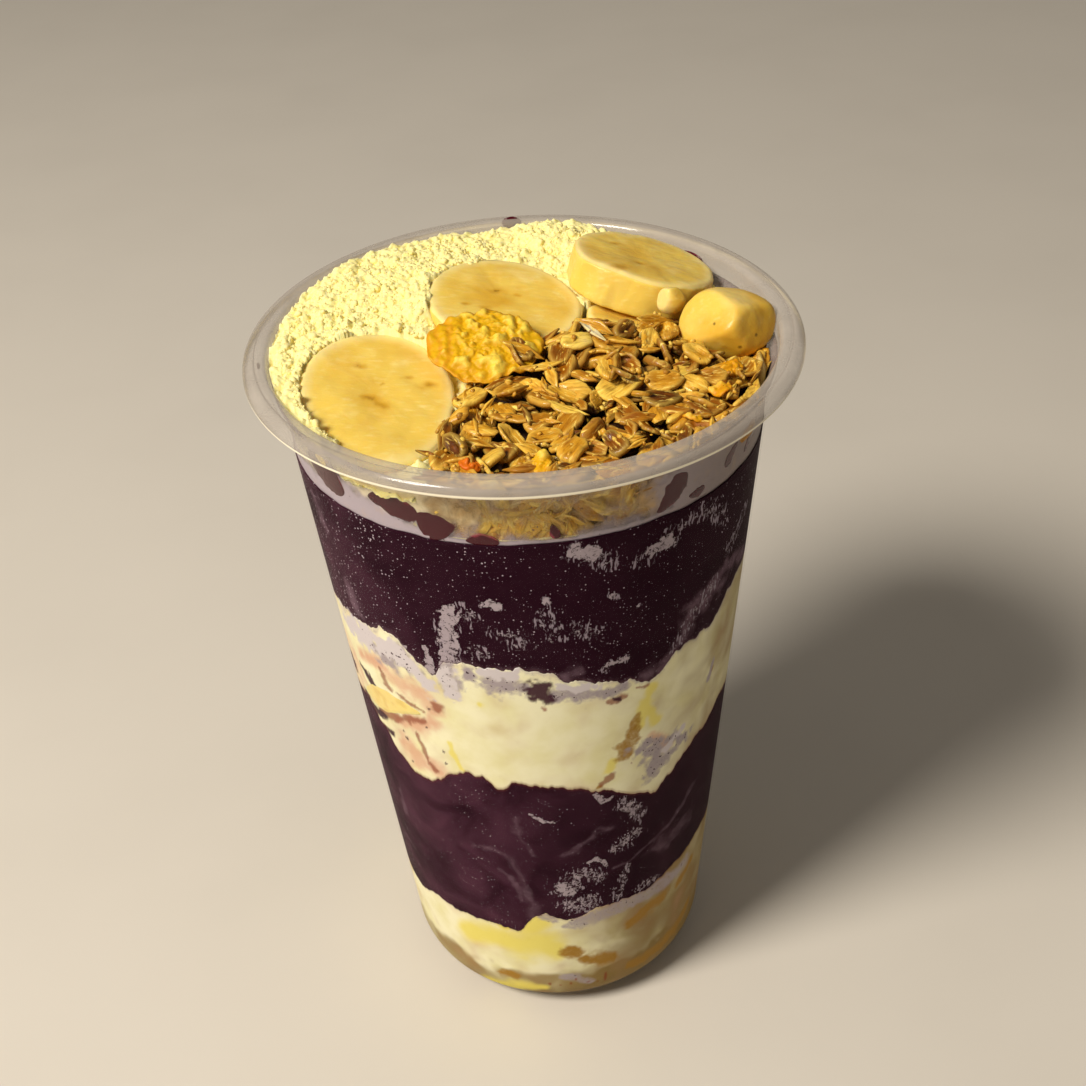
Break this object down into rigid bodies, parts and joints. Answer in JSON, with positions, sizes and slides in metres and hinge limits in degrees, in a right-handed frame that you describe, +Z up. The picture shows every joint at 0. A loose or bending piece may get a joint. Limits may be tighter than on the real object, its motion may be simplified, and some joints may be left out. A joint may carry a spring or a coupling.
{
  "type": "acai cup",
  "caption": "Clear plastic cup of layered acai sorbet and cream, topped with milk powder, banana slices, granola and a corn flake.",
  "frame": {"origin": "middle of the cup's foot, on the surface it stands on", "axes": "+Z up along the cup's axis; -Y is the front, where the granola reaches the rim; +X to the right"},
  "size_m": [0.095, 0.095, 0.1455],
  "materials": {
    "cup_plastic": "clear, slightly milky moulded polypropylene",
    "cream": "soft, pale cream",
    "acai": "frozen dark purple sorbet with fine ice specks",
    "banana": "moist cut fruit",
    "milk_powder": "clumped dry powder",
    "granola": "toasted oat flakes",
    "corn_flake": "crisp toasted flake"
  },
  "bodies": {
    "root": {"cup": "cup_plastic", "cream_base": "cream", "acai_lower": "acai", "cream_middle": "cream", "banana_in_cream": "banana", "acai_upper": "acai", "milk_powder": "milk_powder", "granola": "granola", "banana_slice_front": "banana", "banana_slice_middle": "banana", "banana_slice_back": "banana", "banana_slice_under": "banana", "banana_piece": "banana", "banana_end": "banana", "corn_flake": "corn_flake"}
  },
  "joints": []
}
